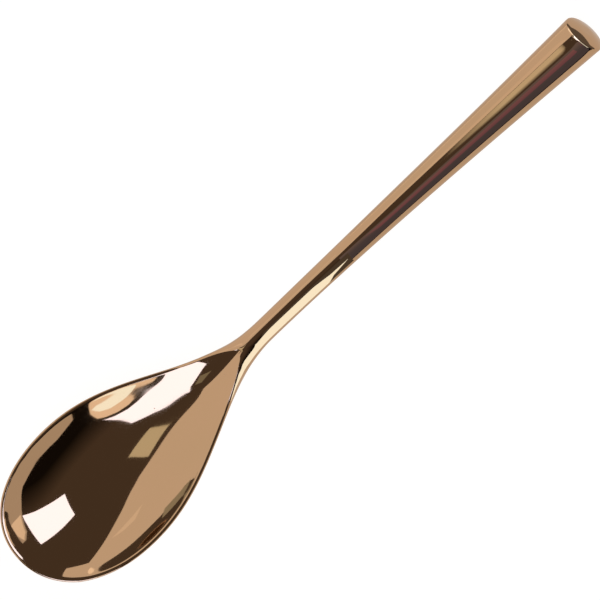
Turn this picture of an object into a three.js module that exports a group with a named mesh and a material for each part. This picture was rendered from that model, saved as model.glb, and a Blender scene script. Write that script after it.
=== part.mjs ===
// Coffee spoon: a forged bowl and stem whose tang is cemented into a hollow, flaring handle.
// The handle is two pressed half shells, closed by a slightly domed plate at its slanted end.
// Lengths are in millimetres. +X runs from the bowl's tip to the handle's end and +Z is up.

import * as THREE from "three";

// Bowl
const bowlWidth = 28.3;
const tipLength = 18.8; // from the tip to the widest place
const tipFullness = 2.15; // power of the tip's outline, where 2 is an ellipse
const taperFullness = 1.06; // how long the outline stays wide on its way to the neck
const hollowTaper = 33.5; // from the widest place to the end of the hollow
const bowlDepth = 4.75;
const bowlWall = 0.9;
const hollowFullness = 2.85; // power of the hollow's section, higher is flatter with steeper sides
const flankStart = 0.86; // share of the hollow's half width where its sides turn straight
const neckFullness = 2; // power of the section where the hollow ends in the neck
const undersideFullness = 2.6; // power of the underside's section
const hollowPoint = 6; // how late the hollow closes to its point
const hollowRunOut = 4.5; // how late its floor rises to the neck
const hollowTipWidth = 0.9; // width of the hollow where it runs out
const tipRaise = 2; // height of the tip's rim over the rim at the widest place
const shoulderRun = 23; // from the widest place to where the rim is lowest
const shoulderDip = 1.1; // how far the rim dips there
const keelDelay = 1; // how late the underside rises to the neck

// Rim
const rimLand = 0.62; // width of the rounded rim seen from above
const rimRise = 0.45; // height of that rounding
const rimFullness = 3; // power of that rounding, where 2 is an ellipse and more leaves its top flatter

// Neck and stem
const neckLength = 5.7; // from the end of the hollow to the plain stem
const stemLength = 18; // from the neck to the handle's joint
const stemWidth = 4.05;
const stemHeight = 3.9;
const neckHeight = 5.5; // middle of the stem over the table, at the neck
const neckClimb = 2.7; // degrees that the stem climbs at the neck
const riseRun = 11; // length over which the rim swells up into the neck
const stemRidge = 1.5; // power of the top's section, where 2 is round and less comes to a soft ridge
const ridgeFade = 14; // length past the handle's joint over which the ridge rounds off

// Handle
const handleLength = 57.3; // from the joint to the middle of the end
const gripWidth = 8.15;
const gripHeight = 6.4;
const gripSwell = 1.7; // power of the flare, higher flares later
const endFall = 1.9; // degrees that the handle falls at its end
const endSlant = 25.5; // degrees that the end leans back from square
const endDome = 0.7; // how far the middle of the end stands out
const lipHeight = 0.3; // upward flare of the top at the end
const lipLength = 2.6;
const slantRun = 14; // length over which the handle's rows lean over to the end's slant

// Inside of the handle
const shellWall = 0.6;
const plateThickness = 1.2;
const tangLength = 20;
const tangWidth = 2.2;
const tangHeight = 2;
const brazeGap = 0.06; // room for braze or cement between pieces that fit into each other

// Mesh counts
const cells = 6; // cells from the middle of a section to its side
const tipRows = 6;
const bowlRows = 14;
const neckRows = 4;
const stemRows = 5;
const handleRows = 12;
const lipRows = 3;
const tangRows = 3;
const landSteps = 3; // cells of the rim's rounding
const rowCrowding = 1.5; // power that draws the bowl's rows together towards the neck
const domeShares = [0.75, 0.4]; // rings of the domed end, as shares of its size
const leanPasses = 12; // rounds that settle a point on a leaning row
const flankAngle = 30; // degrees of the handle's section that continue the rim

// Stations along the length, from the bowl's tip
const widestX = tipLength;
const hollowEndX = widestX + hollowTaper;
const stemX = hollowEndX + neckLength;
const jointX = stemX + stemLength;
const endX = jointX + handleLength;
const { clamp, degToRad, lerp, smoothstep } = THREE.MathUtils;
const quarterTurn = Math.PI / 2;
const slantAngle = degToRad(endSlant);
const slantSlope = Math.tan(slantAngle);
const lowestX = endX + slantSlope * gripHeight / 2; // the end's lower edge, which lies on the table

// Falls smoothly from 1 at the start to 0 at the end.
function fall(x, start, end) {
  return (1 + Math.cos(Math.PI * clamp((x - start) / (end - start), 0, 1))) / 2;
}

// Height of a cubic curve between two places that are given with their slopes.
function blendHeights(x, from, to) {
  const span = to.x - from.x;
  const s = (x - from.x) / span;
  const start = (2 * s - 3) * s * s + 1;
  return start * from.z + (1 - start) * to.z
    + span * s * (1 - s) * ((1 - s) * from.slope - s * to.slope);
}

// Outline and side profile

// Share of the handle's flare that is reached at a station.
function flare(x) {
  return clamp((x - stemX) / (lowestX - stemX), 0, 2) ** gripSwell;
}

// Share of the bowl's width that is left at a station.
function taper(x) {
  const s = clamp((x - widestX) / (stemX - widestX), 0, 1);
  return fall(s ** taperFullness, 0, 1);
}

function halfWidth(x) {
  const bowl = taper(x) * (bowlWidth - stemWidth) / 2;
  return stemWidth / 2 + bowl + flare(x) * (gripWidth - stemWidth) / 2;
}

function halfHeight(x) {
  return stemHeight / 2 + flare(x) * (gripHeight - stemHeight) / 2;
}

const bowlDrop = bowlDepth + bowlWall - rimRise;
const wideRim = { x: widestX, z: bowlDrop, slope: 0 };
const lowRim = { x: widestX + shoulderRun, z: bowlDrop - shoulderDip, slope: 0 };
const neckMiddle = { x: stemX, z: neckHeight, slope: Math.tan(degToRad(neckClimb)) };
const endMiddle = { x: lowestX, z: gripHeight / 2, slope: -Math.tan(degToRad(endFall)) };

// Height of the widest line of each section: the rim's outer edge, then the middle of the stem and handle.
function sideHeight(x) {
  if (x < widestX) {
    return bowlDrop + tipRaise * ((widestX - x) / tipLength) ** 2;
  }
  if (x < lowRim.x) {
    return blendHeights(x, wideRim, lowRim);
  }
  if (x < stemX) {
    return blendHeights(x, lowRim, neckMiddle);
  }
  return blendHeights(x, neckMiddle, endMiddle);
}

// Height of the bowl's underside along its middle, which lies on the table at the widest place.
function keelHeight(x) {
  return (neckHeight - stemHeight / 2) * (1 - fall(x, widestX, stemX)) ** keelDelay;
}

// Height of the rim's top over the widest line, swelling up into the top of the neck.
function topRise(x) {
  return lerp(rimRise, stemHeight / 2, smoothstep(x, hollowEndX - riseRun, hollowEndX));
}

// Half the width of the hollow, which closes to a point in the neck.
function hollowHalf(x) {
  const closing = clamp((x - hollowEndX + riseRun) / riseRun, 0, 1) ** hollowPoint;
  return lerp(halfWidth(x) - rimLand, hollowTipWidth / 2, closing);
}

// The hollow leaves the bowl's wall under it, and runs out where it closes.
function hollowDepth(x) {
  const closing = clamp((x - widestX) / hollowTaper, 0, 1) ** hollowRunOut;
  return (sideHeight(x) + topRise(x) - keelHeight(x) - bowlWall) * (1 - closing);
}

// Share of the hollow's depth that its section has risen by, from its rounded floor to the tops of its sides.
function hollowRise(s, power) {
  const floor = flankStart ** power;
  const slope = power * flankStart ** (power - 1);
  const rise = s < flankStart ? s ** power : floor + slope * (s - flankStart);
  return rise / (floor + slope * (1 - flankStart));
}

// Sections, each a ring of points that runs along the underside from -Y to +Y and back over the top

const columns = [];
for (let j = -cells; j <= cells; j++) {
  columns.push(Math.sin(quarterTurn * j / cells));
}
const columnsBack = [...columns].reverse();
const landMiddles = Array.from({ length: landSteps - 1 }, (_, k) => k + 1);
const landMiddlesBack = [...landMiddles].reverse();

// Shares by which a rounding has drawn in and has risen, from its widest line up to its top.
function rounding(step, power) {
  const angle = quarterTurn * step / landSteps;
  return { inset: 1 - Math.cos(angle) ** (2 / power), rise: Math.sin(angle) ** (2 / power) };
}

// Rounding of the rim or of the stem's side, from the widest line up to the top's edge.
function landPoint(x, side, step) {
  const power = lerp(rimFullness, 2, smoothstep(x, hollowEndX - riseRun, hollowEndX));
  const { inset, rise } = rounding(step, power);
  const width = halfWidth(x);
  const y = side * (width - (width - hollowHalf(x)) * inset);
  return [x, y, sideHeight(x) + topRise(x) * rise];
}

// One section of the bowl between its widest place and the end of the hollow.
function bowlRing(x) {
  const power = lerp(2, undersideFullness, fall(x, widestX, stemX));
  const roundness = lerp(0.5, 1, fall(x, widestX, stemX));
  const under = columns.map((s) => {
    const drop = (sideHeight(x) - keelHeight(x)) * (1 - Math.abs(s) ** power) ** roundness;
    return [x, s * halfWidth(x), sideHeight(x) - drop];
  });
  const hollowPower = lerp(neckFullness, hollowFullness, fall(x, widestX, hollowEndX));
  const top = columnsBack.map((s) => {
    const depth = hollowDepth(x) * (1 - hollowRise(Math.abs(s), hollowPower));
    return [x, s * hollowHalf(x), sideHeight(x) + topRise(x) - depth];
  });
  const left = landMiddles.map((step) => landPoint(x, 1, step));
  const right = landMiddlesBack.map((step) => landPoint(x, -1, step));
  return [...under, ...left, ...top, ...right];
}

// A place of the rounded tip: reach is 1 on the tip's row and 0 at the widest place, s runs from side to side.
function tipPlace(reach, s) {
  const along = reach * Math.sqrt(1 - s * s / 2);
  const across = s * Math.sqrt(1 - reach * reach / 2);
  const radius = Math.hypot(along, across);
  const powers = (along / radius) ** tipFullness + (Math.abs(across) / radius) ** tipFullness;
  const fullness = powers ** (-1 / tipFullness);
  return { along: along * fullness, across: across * fullness, radius };
}

// A point of the tip, drawn in from the outline by an inset, at a height over the widest line.
function tipPoint(place, inset, height) {
  const x = widestX - place.along * (tipLength - inset);
  return [x, place.across * (bowlWidth / 2 - inset), sideHeight(x) + height];
}

function tipLand(reach, s, step) {
  const { inset, rise } = rounding(step, rimFullness);
  return tipPoint(tipPlace(reach, s), rimLand * inset, rimRise * rise);
}

// One row of the rounded tip, with as many points as a section of the bowl.
function tipRing(reach) {
  const under = columns.map((s) => {
    const place = tipPlace(reach, s);
    return tipPoint(place, 0, -bowlDrop * (1 - Math.min(place.radius, 1) ** undersideFullness));
  });
  const top = columnsBack.map((s) => {
    const place = tipPlace(reach, s);
    const depth = bowlDepth * (1 - hollowRise(Math.min(place.radius, 1), hollowFullness));
    return tipPoint(place, rimLand, rimRise - depth);
  });
  const left = landMiddles.map((step) => tipLand(reach, 1, step));
  const right = landMiddlesBack.map((step) => tipLand(reach, -1, step));
  return [...under, ...left, ...top, ...right];
}

// Angles round a section of the stem or handle: the underside from 180 to 360 degrees, then the top.
// The flank is the stretch of the top on each side that continues the rim.
function ringAngles(flank) {
  const under = columns.map((_, k) => Math.PI + k * quarterTurn / cells);
  const rising = landMiddles.map((step) => step * flank / landSteps);
  const top = columns.map((_, k) => flank + k * (Math.PI - 2 * flank) / (2 * cells));
  const falling = landMiddlesBack.map((step) => Math.PI - step * flank / landSteps);
  return [...under, ...rising, ...top, ...falling];
}

const handleAngles = ringAngles(degToRad(flankAngle));
const underAngles = handleAngles.slice(0, 2 * cells + 1);
const topAngles = [0, ...handleAngles.slice(2 * cells + 1), Math.PI];

// Power of the top's section, which comes to a soft ridge on the stem.
function ridgePower(x) {
  const rising = smoothstep(x, hollowEndX, stemX);
  return lerp(2, stemRidge, rising * fall(x, jointX, jointX + ridgeFade));
}

// A point of the stem's or handle's skin, or of a skin inside it, on a row that leans with the end's slant.
function handlePoint(station, angle, inset) {
  const lean = slantSlope * smoothstep(station, endX - slantRun, endX - lipLength);
  const lip = lipHeight * clamp((station - endX + lipLength) / lipLength, 0, 1) ** 2;
  const ridged = Math.sqrt(1 - Math.abs(Math.cos(angle)) ** ridgePower(station));
  const up = Math.sin(angle) > 0 ? ridged : Math.sin(angle);
  let x = station;
  let z = 0;
  for (let pass = 0; pass < leanPasses; pass++) {
    z = sideHeight(x) + (halfHeight(x) - inset) * up + lip * Math.max(up, 0) ** 2;
    x = station - lean * (z - sideHeight(station));
  }
  return [x, (halfWidth(x) - inset) * Math.cos(angle), z];
}

function handleRing(station, inset, angles = handleAngles) {
  return angles.map((angle) => handlePoint(station, angle, inset));
}

// A ring on the domed end, drawn in by an inset and then to a share of its size.
function endRing(inset, share, angles = handleAngles) {
  const reach = share * (1 - inset / halfWidth(endX));
  const bulge = endDome * (1 - reach ** 2);
  return handleRing(endX, inset, angles).map(([x, y, z]) => [
    lerp(endX, x, share) + bulge * Math.cos(slantAngle),
    share * y,
    lerp(sideHeight(endX), z, share) + bulge * Math.sin(slantAngle),
  ]);
}

// Section of the neck, whose flank narrows from the whole top to its share on the stem.
function neckRing(x) {
  const flank = lerp(quarterTurn, degToRad(flankAngle), smoothstep(x, hollowEndX, stemX));
  return handleRing(x, 0, ringAngles(flank));
}

// The tang's section along the middle of the handle, or the hole round it where there is room to spare.
function tangRing(x, room) {
  return handleAngles.map((angle) => [
    x,
    (tangWidth / 2 + room) * Math.cos(angle),
    sideHeight(x) + (tangHeight / 2 + room) * Math.sin(angle),
  ]);
}

// Evenly spaced stations, without the first one.
function stations(from, to, count) {
  return Array.from({ length: count }, (_, k) => lerp(from, to, (k + 1) / count));
}

// Surfaces

class Skin {
  constructor() {
    this.places = [];
    this.faces = [];
  }

  add(points) {
    return points.map((point) => this.places.push(point) - 1);
  }

  quad(a, b, c, d) {
    this.faces.push(a, b, c, a, c, d);
  }

  // Joins each ring to the next, the rings running anticlockwise as seen from the handle's end.
  loft(rings) {
    for (let i = 0; i + 1 < rings.length; i++) {
      rings[i].forEach((corner, k) => {
        const next = (k + 1) % rings[i].length;
        this.quad(corner, rings[i][next], rings[i + 1][next], rings[i + 1][k]);
      });
    }
  }

  // Closes a ring with a fan round its middle.
  cap(ring, facesEnd) {
    const middle = [0, 1, 2].map((axis) => ring.reduce((sum, k) => sum + this.places[k][axis], 0) / ring.length);
    const [hub] = this.add([middle]);
    ring.forEach((corner, k) => {
      const next = ring[(k + 1) % ring.length];
      this.faces.push(hub, ...(facesEnd ? [corner, next] : [next, corner]));
    });
  }

  // The finished geometry, moved so that the middle of the spoon's length is at the origin.
  geometry() {
    const geometry = new THREE.BufferGeometry();
    geometry.setAttribute("position", new THREE.Float32BufferAttribute(this.places.flat(), 3));
    geometry.setIndex(this.faces);
    geometry.translate(-lowestX / 2, 0, 0);
    geometry.computeVertexNormals();
    return geometry;
  }
}

// Pieces

function bowlAndStem() {
  const skin = new Skin();
  const rings = [];
  for (let i = 0; i < tipRows; i++) {
    rings.push(tipRing(Math.sin(quarterTurn * (tipRows - i) / tipRows)));
  }
  for (let i = 0; i < bowlRows; i++) {
    rings.push(bowlRing(hollowEndX - hollowTaper * (1 - i / bowlRows) ** rowCrowding));
  }
  rings.push(bowlRing(hollowEndX));
  rings.push(...stations(hollowEndX, stemX, neckRows).map(neckRing));
  rings.push(...stations(stemX, jointX, stemRows).map((x) => handleRing(x, 0)));
  rings.push(tangRing(jointX, 0));
  rings.push(...stations(jointX, jointX + tangLength, tangRows).map((x) => tangRing(x, 0)));
  const loops = rings.map((ring) => skin.add(ring));
  skin.loft(loops);
  skin.cap(loops.at(-1), true);

  // The rim's rounding goes round the tip, between the first row's underside and its top.
  const first = loops[0];
  const count = columns.length;
  const inner = columns.slice(1, -1);
  const edge = first.slice(0, count);
  const top = first.slice(count + landSteps - 1, 2 * count + landSteps - 1).reverse();
  const middles = landMiddles.map((step) => [
    first.at(-step),
    ...skin.add(inner.map((s) => tipLand(1, s, step))),
    first[count + step - 1],
  ]);
  const strips = [edge, ...middles, top];
  for (let step = 0; step < landSteps; step++) {
    for (let j = 0; j + 1 < count; j++) {
      skin.quad(strips[step][j], strips[step + 1][j], strips[step + 1][j + 1], strips[step][j + 1]);
    }
  }
  return skin.geometry();
}

// Rows of the handle, closer together at the end where the lip flares.
const handleStations = [
  jointX,
  ...stations(jointX, endX - lipLength, handleRows),
  ...stations(endX - lipLength, endX, lipRows),
];

// One half of the hollow handle over a stretch of angles.
function halfShell(angles) {
  const skin = new Skin();
  const count = angles.length;
  const loops = handleStations.map((station) => skin.add([
    ...handleRing(station, 0, angles),
    ...(station < endX ? handleRing(station, shellWall, angles) : endRing(shellWall, 1, angles)).reverse(),
  ]));
  skin.loft(loops);
  for (let k = 0; k + 1 < count; k++) {
    const [outer, outerNext, inner, innerNext] = [k, k + 1, 2 * count - 1 - k, 2 * count - 2 - k];
    const front = loops[0];
    const back = loops.at(-1);
    skin.quad(front[outer], front[inner], front[innerNext], front[outerNext]);
    skin.quad(back[outer], back[outerNext], back[innerNext], back[inner]);
  }
  return skin.geometry();
}

function endPlate() {
  const skin = new Skin();
  const inset = shellWall + brazeGap;
  const rows = [endX - plateThickness, ...stations(endX - plateThickness, endX, lipRows).slice(0, -1)];
  const sides = rows.map((station) => handleRing(station, inset));
  const dome = [1, ...domeShares].map((share) => endRing(inset, share));
  const loops = [...sides, ...dome].map((ring) => skin.add(ring));
  skin.loft(loops);
  skin.cap(loops[0], false);
  skin.cap(loops.at(-1), true);
  return skin.geometry();
}

function handleFiller() {
  const skin = new Skin();
  const frontX = jointX + brazeGap;
  const holeX = jointX + tangLength + brazeGap;
  const backX = endX - plateThickness - brazeGap;
  const inset = shellWall + brazeGap;
  const hole = [holeX, ...stations(holeX, frontX, tangRows)].map((x) => tangRing(x, brazeGap));
  const outside = [frontX, ...handleStations.filter((x) => x > frontX && x < backX), backX];
  const rings = [...hole, ...outside.map((x) => handleRing(x, inset))];
  const loops = rings.map((ring) => skin.add(ring));
  skin.loft(loops);
  skin.cap(loops[0], false);
  skin.cap(loops.at(-1), true);
  return skin.geometry();
}

// Materials

function copperFinish() {
  return new THREE.MeshStandardMaterial({ color: 0xc08a5e, roughness: 0.06, metalness: 1 });
}

function cementFinish() {
  return new THREE.MeshStandardMaterial({ color: 0x8d867c, roughness: 0.9, metalness: 0 });
}

// Assembly

function piece(name, geometry, material) {
  const mesh = new THREE.Mesh(geometry, material);
  mesh.name = name;
  return mesh;
}

const spoon = new THREE.Group();
spoon.name = "coffee_spoon";
spoon.add(piece("bowl_and_stem", bowlAndStem(), copperFinish()));
spoon.add(piece("handle_top_shell", halfShell(topAngles), copperFinish()));
spoon.add(piece("handle_bottom_shell", halfShell(underAngles), copperFinish()));
spoon.add(piece("end_plate", endPlate(), copperFinish()));
spoon.add(piece("handle_filler", handleFiller(), cementFinish()));

export default spoon;
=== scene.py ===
import math

import bmesh
import bpy
from mathutils import Matrix, Vector
from mathutils.bvhtree import BVHTree


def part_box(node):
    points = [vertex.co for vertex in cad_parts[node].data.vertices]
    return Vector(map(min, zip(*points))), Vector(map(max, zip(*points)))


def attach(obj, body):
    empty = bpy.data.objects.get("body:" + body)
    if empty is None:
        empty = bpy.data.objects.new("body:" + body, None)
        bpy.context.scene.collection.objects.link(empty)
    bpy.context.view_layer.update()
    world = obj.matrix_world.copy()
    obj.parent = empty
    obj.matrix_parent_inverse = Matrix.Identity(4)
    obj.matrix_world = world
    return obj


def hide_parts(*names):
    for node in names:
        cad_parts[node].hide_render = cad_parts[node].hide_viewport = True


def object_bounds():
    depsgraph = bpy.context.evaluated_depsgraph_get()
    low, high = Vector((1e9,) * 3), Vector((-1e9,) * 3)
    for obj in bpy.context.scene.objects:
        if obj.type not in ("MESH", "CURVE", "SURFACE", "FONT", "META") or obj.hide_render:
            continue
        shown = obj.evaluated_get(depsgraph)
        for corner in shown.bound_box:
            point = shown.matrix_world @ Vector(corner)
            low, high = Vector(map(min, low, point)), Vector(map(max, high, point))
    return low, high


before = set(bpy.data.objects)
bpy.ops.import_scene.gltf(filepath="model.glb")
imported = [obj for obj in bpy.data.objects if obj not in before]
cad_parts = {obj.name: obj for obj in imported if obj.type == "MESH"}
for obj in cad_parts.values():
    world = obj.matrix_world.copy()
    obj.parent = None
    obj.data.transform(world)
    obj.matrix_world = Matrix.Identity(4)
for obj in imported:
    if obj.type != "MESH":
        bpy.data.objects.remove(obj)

cad_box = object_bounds()

# Camera, as the photograph was taken: from above, leaning to the spoon's right side and a little to its end
photo_width = 600  # pixels
pixel_size = 0.17274e-3  # metres on the spoon
middle_pixel = (310.1, 298.01)  # where the frame's origin is in the photograph
lean_right = math.radians(14)
lean_end = math.radians(2)
roll = math.radians(43.263)
camera_distance = 2.5
sensor_width = 36  # millimetres

# Surfaces
merge_distance = 1e-6
smooth_levels = 3
tang_angle = math.radians(50)  # the edges of the tang turn more than this
rim_angle = math.radians(38)  # the inner edge of the rim turns more than this
shade_angle = math.radians(25)  # edges that turn more than this look crisp
tang_crease = 1.0
rim_crease = 0.2  # leaves the inner edge of the rim a little round
handle_walls = {"handle_top_shell": 0.5e-3, "handle_bottom_shell": 0.5e-3, "end_plate": 1.2e-3}
braze_gap = 0.1e-3  # what the braze fills round the end plate
facing_bowl = -0.7  # faces of the handle whose normals point this far along X are inside its joint

# Finishes
copper = (0.63, 0.37, 0.205)
browner_copper = (0.59, 0.365, 0.195)
polish = 0.016  # roughness of the clean metal
dark_cement = (0.30, 0.27, 0.24)
pale_cement = (0.46, 0.43, 0.39)

# Colours of the light
white = (1, 1, 1)
cool_white = (0.45, 0.59, 1)
pale_blue = (0.58, 0.79, 1)
pale_green = (0.92, 1, 0.9)
pale_violet = (0.9, 1, 1.6)
rose = (1, 0.1, 0.4)
backdrop_grey = (0.9, 0.9, 0.9)
room_brown = (0.085, 0.072, 0.062)
room_black = (0.008, 0.007, 0.006)

# Brightness, where the floor is about 1
softbox_light = 4.35
wall_light = 0.82  # of the pale walls and the ceiling
table_light = 0.72
floor_glow = 0.92
floor_share = 0.13  # how much of the softboxes' light the floor adds to its glow
floor_mottling = 1.03  # how much paler its palest patches are

# Directions of the light, in degrees round from +X towards +Y and up from the table
end_side = 0
left_side = 90
right_side = -90
black_side = (-75, 5)  # where the room is darkest
black_spread = (0.38, 0.72)  # cosines from there between which the room darkens

# The pale strip in the outer half of the handle, made of panels that start one after the other
strip_steps = 5
strip_light = 0.8
strip_low = 64  # elevation of its lower edge, in degrees
strip_high = 83  # elevation from which its upper edge fades
strip_fade = 16  # degrees over which it fades
strip_start = 0.058  # where along the spoon the first panel starts
strip_stagger = 0.003  # how much later each of the others does
strip_length = 0.06

# Places and distances
joint_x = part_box("handle_top_shell")[0].x
bowl_middle = Vector((cad_box[0].x + 0.028, 0, 0.004))
hollow_end_x = cad_box[0].x + 0.0523
handle_middle = Vector((0.04, 0, 0.006))
end_middle = Vector((cad_box[1].x, 0, 0.005))
end_flag_x = cad_box[1].x + 0.018
layer_distances = (1.0, 0.45, 0.41, 0.37)  # from the bowl to the cards: nearer ones hang in front
floor_size = 4
table_height = 0.02e-3  # of the card that stands for the table in the reflections
millimetre = 1e-3


# Selecting and editing

def only(piece):
    """Selects one piece alone and makes it the active one."""
    bpy.ops.object.select_all(action="DESELECT")
    piece.select_set(True)
    bpy.context.view_layer.objects.active = piece


def edit(piece, mode):
    """Opens a piece in edit mode with nothing selected."""
    only(piece)
    bpy.ops.object.mode_set(mode="EDIT")
    bpy.ops.mesh.select_mode(type=mode)
    bpy.ops.mesh.select_all(action="DESELECT")
    return bmesh.from_edit_mesh(piece.data)


def leave_edit():
    bpy.ops.object.mode_set(mode="OBJECT")


def apply_modifier(piece, kind, **settings):
    only(piece)
    modifier = piece.modifiers.new(kind.lower(), kind)
    for name, value in settings.items():
        setattr(modifier, name, value)
    bpy.ops.object.modifier_apply(modifier=modifier.name)
    bpy.ops.object.shade_smooth_by_angle(angle=shade_angle)


def crease(piece, wanted, amount):
    """Creases the edges that a test picks out, fully crisp at 1."""
    mesh = edit(piece, "EDGE")
    for edge in mesh.edges:
        edge.select_set(wanted(edge))
    bpy.ops.transform.edge_crease(value=amount)
    leave_edit()


# Pieces

def cad_copy(name, *nodes):
    """A new object that holds the solids of some CAD nodes, each in a material slot of its own."""
    bpy.ops.object.select_all(action="DESELECT")
    for node in nodes:
        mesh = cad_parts[node].data.copy()
        mesh.materials.clear()
        mesh.materials.append(bpy.data.materials.new(node))
        copy = bpy.data.objects.new(name, mesh)
        bpy.context.collection.objects.link(copy)
        copy.select_set(True)
        bpy.context.view_layer.objects.active = copy
    bpy.ops.object.join()
    piece = bpy.context.object
    piece.name = name
    bpy.ops.mesh.customdata_custom_splitnormals_clear()
    edit(piece, "VERT")
    bpy.ops.mesh.select_all(action="SELECT")
    bpy.ops.mesh.remove_doubles(threshold=merge_distance)
    leave_edit()
    return piece


def make_quads(piece):
    edit(piece, "FACE")
    bpy.ops.mesh.select_all(action="SELECT")
    bpy.ops.mesh.tris_convert_to_quads(face_threshold=math.pi, shape_threshold=math.pi, materials=True)
    leave_edit()


def smooth(piece):
    """Subdivides a piece into a smooth surface that keeps its creased edges."""
    apply_modifier(piece, "SUBSURF", levels=smooth_levels, render_levels=smooth_levels)


def bowl_and_stem():
    piece = cad_copy("bowl", "bowl_and_stem")
    make_quads(piece)

    def at_tang(edge):
        inside_handle = min(vert.co.x for vert in edge.verts) > joint_x - merge_distance
        return inside_handle and edge.calc_face_angle(0) > tang_angle

    def inside_rim(edge):
        in_bowl = max(vert.co.x for vert in edge.verts) < hollow_end_x - merge_distance
        facing_up = all(face.normal.z > 0 for face in edge.link_faces)
        return in_bowl and facing_up and edge.is_convex and edge.calc_face_angle(0) > rim_angle

    crease(piece, at_tang, tang_crease)
    crease(piece, inside_rim, rim_crease)
    smooth(piece)
    return piece


def handle_skin():
    """The outside of the shells and the end plate as one skin, so that no edge shows at the braze."""
    skin = cad_copy("handle", *handle_walls)
    mesh = edit(skin, "FACE")
    solids = BVHTree.FromBMesh(mesh)
    for face in mesh.faces:
        start = face.calc_center_median() + merge_distance * face.normal
        covered = solids.ray_cast(start, face.normal)[0] is not None
        if covered or face.normal.x < facing_bowl:
            face.select_set(True)
    bpy.ops.mesh.delete(type="FACE")
    bpy.ops.mesh.select_mode(type="VERT")
    bpy.ops.mesh.select_non_manifold()
    bpy.ops.mesh.remove_doubles(threshold=braze_gap)
    leave_edit()
    make_quads(skin)
    smooth(skin)
    return skin


def handle_pieces():
    """Parts the handle's skin into its pieces and gives each one its wall."""
    edit(handle_skin(), "VERT")
    bpy.ops.mesh.select_all(action="SELECT")
    bpy.ops.mesh.separate(type="MATERIAL")
    leave_edit()
    parts = {part.data.materials[0].name: part for part in bpy.context.selected_objects}
    for name, part in parts.items():
        apply_modifier(part, "SOLIDIFY", thickness=handle_walls[name], offset=-1, use_even_offset=True)
    return parts


# Materials

class Signal:
    """The output of a shader node, with arithmetic that adds Math nodes."""

    def __init__(self, tree, socket=None):
        self.tree = tree
        self.socket = socket

    def node(self, kind, settings, inputs, output=0):
        """Adds a node: its settings first, then the values or the signals of its sockets."""
        node = self.tree.nodes.new("ShaderNode" + kind)
        for name, value in settings.items():
            setattr(node, name, value)
        for name, value in inputs.items():
            if isinstance(value, Signal):
                value.feed(node.inputs[name])
            else:
                node.inputs[name].default_value = value
        return Signal(self.tree, node.outputs[output])

    def feed(self, socket):
        self.tree.links.new(self.socket, socket)

    def math(self, operation, *values):
        return self.node("Math", {"operation": operation}, dict(enumerate(values)))

    def __add__(self, other):
        return self.math("ADD", self, other)

    def __radd__(self, other):
        return self.math("ADD", other, self)

    def __sub__(self, other):
        return self.math("SUBTRACT", self, other)

    def __rsub__(self, other):
        return self.math("SUBTRACT", other, self)

    def __mul__(self, other):
        return self.math("MULTIPLY", self, other)

    def __rmul__(self, other):
        return self.math("MULTIPLY", other, self)

    def below(self, limit):
        return self.math("LESS_THAN", self, limit)

    def blend(self, first, second):
        """A colour between two others, by this signal from 0 to 1."""
        # The colours of a Mix node are its inputs 6 and 7 and its output 2.
        return self.node("Mix", {"data_type": "RGBA"}, {0: self, 6: (*first, 1), 7: (*second, 1)}, 2)

    def stretched(self, scale):
        """Coordinates multiplied by a scale for each axis."""
        return self.node("Mapping", {}, {"Vector": self, "Scale": scale})

    def noise(self, scale, detail=2):
        return self.node("TexNoise", {}, {"Vector": self, "Scale": scale, "Detail": detail})

    def specks(self, scale, radius):
        """Round dots, one in each cell of the given scale, with their radius in cells."""
        return self.node("TexVoronoi", {}, {"Vector": self, "Scale": scale}, "Distance").below(radius)


def new_material(name):
    """A material with its shader and the object's own coordinates."""
    material = bpy.data.materials.new(name)
    material.use_nodes = True
    tree = material.node_tree
    place = Signal(tree).node("TexCoord", {}, {}, "Object")
    return material, tree.nodes["Principled BSDF"], place


def polished_copper():
    """Copper-coloured coating on mirror-polished steel, with the last traces of hand polishing."""
    material, shader, place = new_material("polished_copper")
    hairlines = place.stretched((60, 2600, 2600)).noise(scale=1, detail=3)
    clouds = place.noise(scale=70)
    dust = place.specks(scale=150, radius=0.016)
    sway = place.noise(scale=95, detail=1)
    clouds.blend(copper, browner_copper).feed(shader.inputs["Base Color"])
    roughness = polish + 0.03 * hairlines + 0.012 * clouds + 0.25 * dust
    roughness.feed(shader.inputs["Roughness"])
    relief = sway + 0.012 * hairlines
    bump = place.node("Bump", {}, {"Height": relief, "Strength": 1, "Distance": 6e-6})
    bump.feed(shader.inputs["Normal"])
    shader.inputs["Metallic"].default_value = 1
    return material


def handle_cement():
    """Grey cement with pale grains, hidden inside the handle."""
    material, shader, place = new_material("handle_cement")
    grains = place.noise(scale=2200, detail=4)
    pores = place.specks(scale=900, radius=0.22)
    grains.blend(dark_cement, pale_cement).feed(shader.inputs["Base Color"])
    roughness = 0.95 - 0.15 * grains
    roughness.feed(shader.inputs["Roughness"])
    bump = place.node("Bump", {}, {"Height": grains - pores, "Strength": 0.6, "Distance": 0.1e-3})
    bump.feed(shader.inputs["Normal"])
    return material


def glow(name, strength, colour):
    material = bpy.data.materials.new(name)
    material.use_nodes = True
    tree = material.node_tree
    light = Signal(tree).node("Emission", {}, {"Color": (*colour, 1), "Strength": strength})
    light.feed(tree.nodes["Material Output"].inputs["Surface"])
    return material


# Stage

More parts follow.
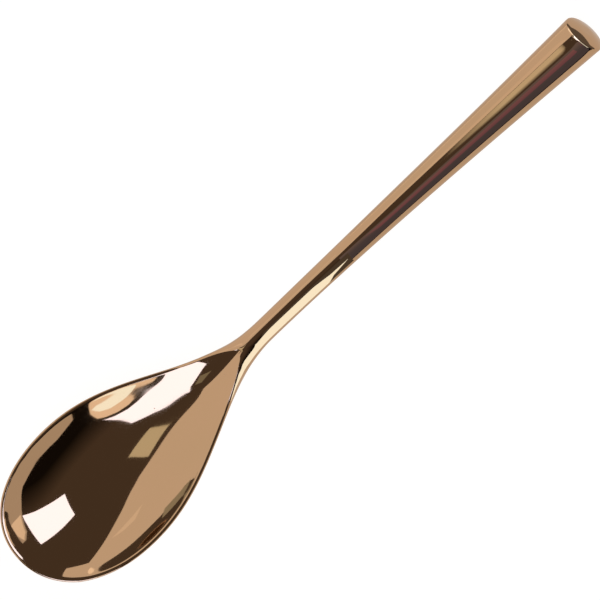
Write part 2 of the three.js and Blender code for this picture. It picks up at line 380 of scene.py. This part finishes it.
def add_camera():
    towards = Vector((
        math.sin(lean_end),
        -math.sin(lean_right) * math.cos(lean_end),
        math.cos(lean_right) * math.cos(lean_end),
    ))
    along = Vector((
        math.cos(lean_end),
        math.sin(lean_right) * math.sin(lean_end),
        -math.cos(lean_right) * math.sin(lean_end),
    ))
    across = along.cross(towards)
    right = math.cos(roll) * along + math.sin(roll) * across
    up = math.sin(roll) * along - math.cos(roll) * across
    shift = (middle_pixel[0] - photo_width / 2) * right + (photo_width / 2 - middle_pixel[1]) * up
    data = bpy.data.cameras.new("camera")
    data.sensor_width = sensor_width
    data.lens = sensor_width * camera_distance / (photo_width * pixel_size)
    camera = bpy.data.objects.new("camera", data)
    turn = Matrix((right, up, towards)).transposed().to_4x4()
    camera.matrix_world = Matrix.Translation(towards * camera_distance - shift * pixel_size) @ turn
    bpy.context.collection.objects.link(camera)
    bpy.context.scene.camera = camera


def add_floor():
    """A pale floor whose colour takes the blue out of the softboxes' light."""
    bpy.ops.mesh.primitive_plane_add(size=floor_size)
    floor = bpy.context.object
    floor.name = "floor"
    material, shader, place = new_material("pale_floor")
    warm = [floor_share / channel for channel in cool_white]
    paler = [floor_mottling * channel for channel in warm]
    place.noise(scale=3).blend(warm, paler).feed(shader.inputs["Base Color"])
    shader.inputs["Roughness"].default_value = 1
    shader.inputs["Emission Color"].default_value = (*white, 1)
    shader.inputs["Emission Strength"].default_value = floor_glow
    floor.data.materials.append(material)


def direction(azimuth, elevation):
    """A direction in degrees: round from +X towards +Y, and up from the table."""
    azimuth, elevation = math.radians(azimuth), math.radians(elevation)
    level = math.cos(elevation)
    return Vector((math.cos(azimuth) * level, math.sin(azimuth) * level, math.sin(elevation)))


def add_world():
    """A dark room round the cards, and a pale backdrop behind the floor."""
    world = bpy.data.worlds.new("studio")
    bpy.context.scene.world = world
    world.use_nodes = True
    tree = world.node_tree
    start = Signal(tree)
    way = start.node("TexCoord", {}, {}, "Generated")
    both = {0: way, 1: direction(*black_side)}
    cosine = start.node("VectorMath", {"operation": "DOT_PRODUCT"}, both, "Value")
    spread = {"From Min": black_spread[0], "From Max": black_spread[1]}
    shade = start.node("MapRange", {}, {"Value": cosine, **spread})
    room = start.node("Background", {}, {"Color": shade.blend(room_brown, room_black)})
    backdrop = start.node("Background", {}, {"Color": (*backdrop_grey, 1)})
    seen = start.node("LightPath", {}, {}, "Is Camera Ray")
    surface = start.node("MixShader", {}, {0: seen, 1: room, 2: backdrop})
    surface.feed(tree.nodes["World Output"].inputs["Surface"])


# Cards and panels of the studio

def shows_only_in(light, shown):
    """Keeps a light to some of the pieces."""
    group = bpy.data.collections.new(light.name)
    for piece in shown:
        group.objects.link(piece)
    light.light_linking.receiver_collection = group


def add_card(name, places, strength, colour=white):
    """A glowing card that only shows in the polished metal."""
    mesh = bpy.data.meshes.new(name)
    mesh.from_pydata(places, [], [range(len(places))])
    mesh.materials.append(glow(name, strength, colour))
    card = bpy.data.objects.new(name, mesh)
    bpy.context.collection.objects.link(card)
    card.visible_camera = False
    card.visible_diffuse = False
    card.visible_shadow = False
    return card


def far_card(name, corners, strength, colour=white, layer=0):
    """A card of the studio, with its corners given as directions from the bowl."""
    places = [bowl_middle + layer_distances[layer] * direction(*corner) for corner in corners]
    return add_card(name, places, strength, colour)


def stem_side_card(name, y, corners, strength, colour=white):
    """A card that stands beside the stem, with its corners given along the stem and up, in millimetres."""
    places = [millimetre * Vector((x, y, z)) for x, z in corners]
    return add_card(name, places, strength, colour)


def add_softbox(name, corners):
    """A large card that lights the floor too."""
    card = far_card(name, corners, softbox_light, cool_white)
    card.visible_diffuse = True


def add_panel(name, middle, azimuth, elevations, distance, width, strength, colour, shown):
    """A lit panel between two elevations over a place, which only some of the pieces reflect."""
    low, high = elevations
    towards = direction(azimuth, (low + high) / 2)
    turn = towards.to_track_quat("Z", "Y").to_matrix().to_4x4()
    data = bpy.data.lights.new(name, "AREA")
    data.shape = "RECTANGLE"
    data.size = width
    data.size_y = 2 * distance * math.tan(math.radians(high - low) / 2)
    data.color = colour
    data.energy = strength * math.pi * data.size * data.size_y
    panel = bpy.data.objects.new(name, data)
    panel.matrix_world = Matrix.Translation(middle + distance * towards) @ turn
    bpy.context.collection.objects.link(panel)
    shows_only_in(panel, shown)


def add_softboxes():
    """The white patches in the hollow: one near its tip, and one along its left side near the neck."""
    add_softbox("end_softbox", [(36, 67), (17.5, 28.5), (-14, 33.5), (-11.5, 74)])
    add_softbox("side_softbox", [
        (225, 5), (205.5, 38), (194, 56.5), (179, 67), (167.5, 68), (188.5, 69.2), (209, 69.3), (230, 61.5),
        (243.5, 51.3), (249, 45), (252, 36), (254, 20), (254, 5),
    ])


def add_wall_cards():
    """The pale wall that shows in the hollow's right side, and the dimmer light in its left side."""
    cards = [
        far_card("left_wall", [
            (166, 0), (166, 29), (153.5, 62.5), (131.5, 65), (116, 65.3), (100, 60.7), (79, 44.5), (68, 28),
            (61, 14.5), (46.5, 14), (42, 0), (66, 0), (67, 7.3), (98, 8), (105, 12.5), (108, 0),
        ], wall_light),
        far_card("wall_patch", [(78, 34.5), (101, 43), (94, 34.5), (87, 33.5)], strength=0.97, layer=1),
        far_card("low_streak", [
            (106, 12.5), (100, 11), (98, 5), (103, 6),
        ], strength=0.42, colour=pale_green, layer=1),
        far_card("low_spot", [(61, 8.5), (64, 10), (67, 8), (64, 6.5)], strength=1.35, layer=1),
        far_card("right_bounce", [
            (-102, 0), (-101, 31), (-92, 34), (-79, 34.5), (-64, 35), (-47, 34.5), (-27, 35), (-10, 32.5),
            (2, 29.5), (8, 25), (9, 22), (2.5, 23), (-10, 25), (-21.5, 26.8), (-40, 20), (-47, 0), (-73, 0),
        ], strength=0.6),
        far_card("bounce_end", [
            (-9, 25.7), (-16, 33.5), (-10, 32.5), (2, 29.5), (8, 25), (3, 24.3), (-4, 24.8),
        ], strength=1.1, layer=1),
    ]
    for card in cards:
        shows_only_in(card, [pieces["bowl_and_stem"], pieces["end_plate"]])


def add_small_cards():
    """The small patches in the hollow, and the arch at its left with a dark edge and a bright core."""
    far_card("ceiling_panel", [(137, 74), (162, 71), (145, 66.2), (129.5, 67.2)], wall_light, pale_green)
    far_card("side_streak", [
        (190, 57.5), (176, 65.5), (171, 62.5), (186, 51),
    ], strength=0.3, colour=pale_green)
    far_card("reflector_edge", [
        (243, 20), (242, 37), (239.5, 42), (237, 45), (233.5, 49), (230, 53), (229.5, 55), (231.5, 56),
        (238, 54.3), (243.5, 51), (248.5, 46), (252, 37), (254, 20),
    ], strength=0.07, layer=1)
    far_card("reflector", [
        (243, 20), (242.5, 37), (241, 41), (238.8, 44), (236, 47.5), (234, 50.5), (234, 52.3), (237.5, 52.2),
        (244, 48.8), (248.5, 44.5), (252, 36.5), (254, 20),
    ], strength=1.2, layer=2)
    far_card("reflector_core", [
        (240, 41.7), (238.5, 44), (239.5, 44.5), (243.5, 43.7), (248, 40), (251.5, 35), (250, 35), (246, 37),
        (242.5, 39),
    ], strength=2.6, colour=pale_blue, layer=3)


def add_stem_cards():
    """The bright line along the stem, which ends in a point, with the dark and the wall beside it."""
    point = [(1, 17), (5, 12.8), (9.3, 12), (5.5, 8.2), (4, 2.8)]
    card = [(-20, 2.4), *reversed(point), (-10, 17), (-13.5, 13.5), (-20, 12)]
    shade = [(-12, 17), *point, (9.8, 2.8), (9.8, 24), (-12, 24)]
    blend = [(-6, 12.6), (8.6, 12.6), (8.6, 15.2)]
    wall = [(-18, 0), (12, 0), (12, 11), (-18, 11)]
    stem_side_card("stem_card", y=-10, corners=card, strength=2.7, colour=pale_blue)
    stem_side_card("stem_shade", y=-10, corners=shade, strength=0.1)
    stem_side_card("stem_blend", y=4, corners=blend, strength=wall_light)
    stem_side_card("stem_wall", y=20, corners=wall, strength=wall_light)


def add_end_flag():
    """A dim card beyond the end, which shows as the dark crescent on the end plate."""
    corners = ((-0.03, 0), (0.05, 0), (0.05, 0.012), (-0.03, 0.012))
    add_card("end_flag", [(end_flag_x, y, z) for y, z in corners], strength=0.15)


def add_table():
    """The table as the metal reflects it, a little darker than the floor that the camera sees."""
    reach = floor_size / 2
    corners = ((-reach, -reach), (reach, -reach), (reach, reach), (-reach, reach))
    add_card("table", [(x, y, table_height) for x, y in corners], table_light)


def add_panels():
    """What the handle reflects: the wall, a pale strip, a faint rosy streak and a glint at its end."""
    shells = [pieces["handle_top_shell"], pieces["handle_bottom_shell"]]
    add_panel(
        "handle_wall", handle_middle, left_side, elevations=(-4, 62.5), distance=0.3, width=0.8,
        strength=wall_light, colour=white, shown=shells,
    )
    for step in range(strip_steps):
        middle = Vector((strip_start + strip_stagger * step + strip_length / 2, 0, handle_middle.z))
        edges = (strip_low, strip_high + strip_fade * step / strip_steps)
        add_panel(
            "handle_strip", middle, left_side, edges, distance=0.5, width=strip_length,
            strength=strip_light / strip_steps, colour=pale_green, shown=shells,
        )
    add_panel(
        "handle_fill", handle_middle, right_side, elevations=(0, 76), distance=0.8, width=2,
        strength=0.1, colour=pale_violet, shown=shells,
    )
    add_panel(
        "handle_blush", handle_middle, right_side, elevations=(46, 67), distance=0.8, width=0.085,
        strength=0.12, colour=rose, shown=shells,
    )
    add_panel(
        "end_glint", end_middle, end_side, elevations=(34, 60), distance=0.3, width=1,
        strength=1.4, colour=pale_blue, shown=[*shells, pieces["end_plate"]],
    )


add_camera()
add_floor()
add_world()

pieces = {"bowl_and_stem": bowl_and_stem(), **handle_pieces()}
finish = polished_copper()
for node, piece in pieces.items():
    piece.name = "refined_" + node
    piece.data.materials.clear()
    piece.data.materials.append(finish)
    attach(piece, "root")
    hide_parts(node)

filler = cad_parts["handle_filler"]
filler.data.materials.clear()
filler.data.materials.append(handle_cement())

add_softboxes()
add_wall_cards()
add_small_cards()
add_stem_cards()
add_end_flag()
add_table()
add_panels()
bpy.context.scene.view_settings.view_transform = "Standard"
